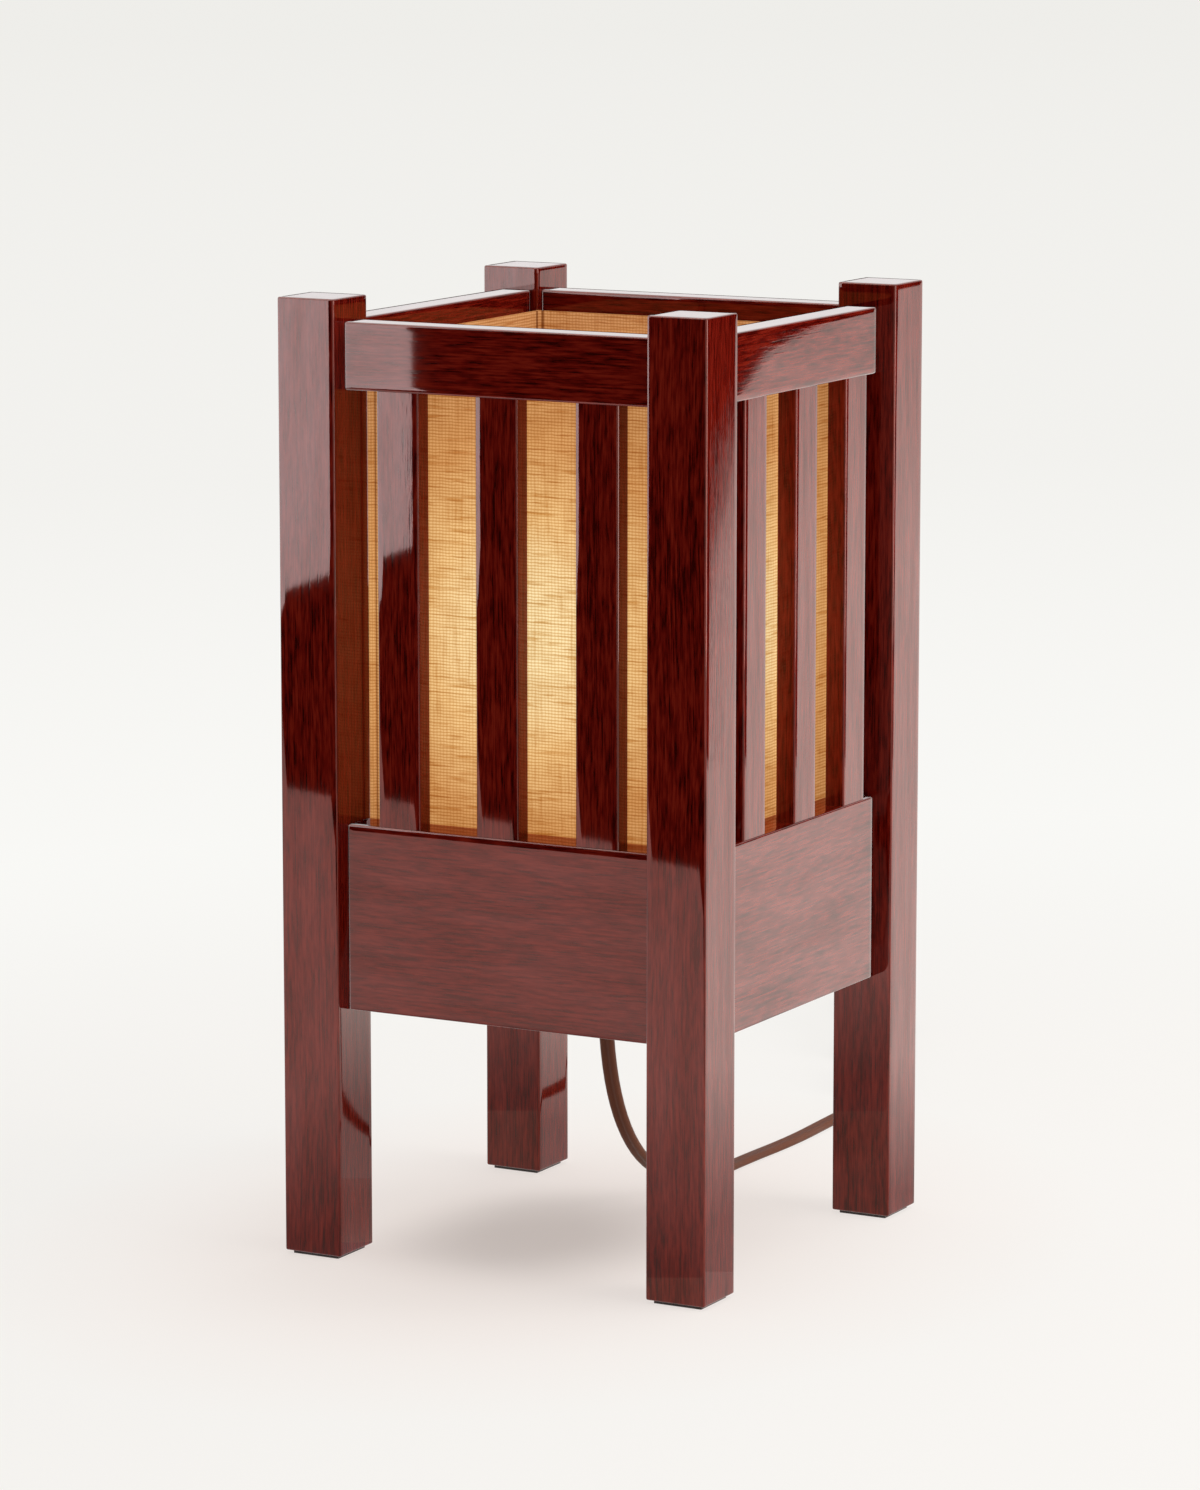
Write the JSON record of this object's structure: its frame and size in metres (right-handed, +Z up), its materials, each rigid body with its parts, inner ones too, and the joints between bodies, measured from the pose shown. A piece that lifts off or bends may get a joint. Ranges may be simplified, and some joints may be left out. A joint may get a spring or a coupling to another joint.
{
  "type": "lantern table lamp",
  "caption": "Square wooden lantern table lamp: slatted post-and-rail frame round a lift-out woven shade, with a screw-in bulb, flat flex, in-line rotary switch and plug.",
  "frame": {"origin": "on the surface that the lamp stands on, under the middle of the square frame", "axes": "+Z up; -Y is the front side at the picture's left, +X the side at its right"},
  "size_m": [0.209, 0.5671, 0.39],
  "materials": {
    "rosewood": "glossy red-brown lacquer over dark streaked grain",
    "base_wood": "plain stained board, sanded",
    "felt": "pressed felt",
    "screw_steel": "zinc plated",
    "shade_linen": "plain-weave linen with slubs",
    "brass": "satin brass",
    "washer_steel": "zinc plated",
    "black_phenolic": "moulded phenolic",
    "lead_insulation": "soft plastic insulation",
    "frosted_glass": "inside-frosted glass",
    "bulb_metal": "rolled screw cap",
    "bulb_black": "black glass insulator",
    "clear_glass": "clear glass",
    "filament_wire": "drawn wire",
    "brown_flex": "satin brown flat twin flex",
    "brown_plastic": "moulded brown plastic",
    "dark_plastic": "moulded dark brown plastic",
    "tie_webbing": "woven hook-and-loop strap"
  },
  "bodies": {
    "lamp_frame": {"apron_back": "rosewood", "apron_front": "rosewood", "apron_left": "rosewood", "apron_right": "rosewood", "base_board": "base_wood", "board_screws": "screw_steel", "centre_contact": "brass", "cleat_back": "base_wood", "cleat_front": "base_wood", "cleat_left": "base_wood", "cleat_right": "base_wood", "cleat_screws": "screw_steel", "cord_hank": "brown_flex", "cord_run": "brown_flex", "cord_tie": "tie_webbing", "foot_pads": "felt", "holder_cap": "brass", "holder_core": "black_phenolic", "holder_shell": "brass", "lock_nuts": "brass", "nipple": "brass", "nipple_washer": "washer_steel", "plug_blades": "brass", "plug_body": "brown_plastic", "post_back_left": "rosewood", "post_back_right": "rosewood", "post_front_left": "rosewood", "post_front_right": "rosewood", "screw_shell": "brass", "slat_back_1": "rosewood", "slat_back_2": "rosewood", "slat_back_3": "rosewood", "slat_front_1": "rosewood", "slat_front_2": "rosewood", "slat_front_3": "rosewood", "slat_left_1": "rosewood", "slat_left_2": "rosewood", "slat_left_3": "rosewood", "slat_right_1": "rosewood", "slat_right_2": "rosewood", "slat_right_3": "rosewood", "strain_relief": "black_phenolic", "supply_leads": "lead_insulation", "switch_base": "brown_plastic", "switch_cover": "brown_plastic", "switch_screws": "screw_steel", "top_rail_back": "rosewood", "top_rail_front": "rosewood", "top_rail_left": "rosewood", "top_rail_right": "rosewood"},
    "shade_body": {"shade": "shade_linen"},
    "bulb_contact": {"bulb_tip": "bulb_metal"},
    "bulb_screw": {"bulb_insulator": "bulb_black", "bulb_cap": "bulb_metal", "bulb_globe": "frosted_glass", "bulb_stem": "clear_glass", "bulb_filament": "filament_wire"},
    "thumbwheel": {"switch_wheel": "dark_plastic"}
  },
  "joints": [
    {"name": "shade_lift", "type": "slide", "parent": "lamp_frame", "child": "shade_body", "axis": [0, 0, 1], "range_m": [0, 0.25]},
    {"name": "bulb_rise", "type": "slide", "parent": "lamp_frame", "child": "bulb_contact", "axis": [0, 0, 1], "range_m": [0, 0.0109]},
    {"name": "bulb_turn", "type": "hinge", "parent": "bulb_contact", "child": "bulb_screw", "pos_m": [0, 0, 0.2], "axis": [0, 0, 1], "range_deg": [0, 1080]},
    {"name": "switch_turn", "type": "hinge", "parent": "lamp_frame", "child": "thumbwheel", "pos_m": [-0.01497, 0.29378, 0.00675], "axis": [0, 0, 1], "continuous": true}
  ],
  "couplings": [
    {"joint": "bulb_rise", "follows": "bulb_turn", "m_per_rad": 0.00057757}
  ]
}
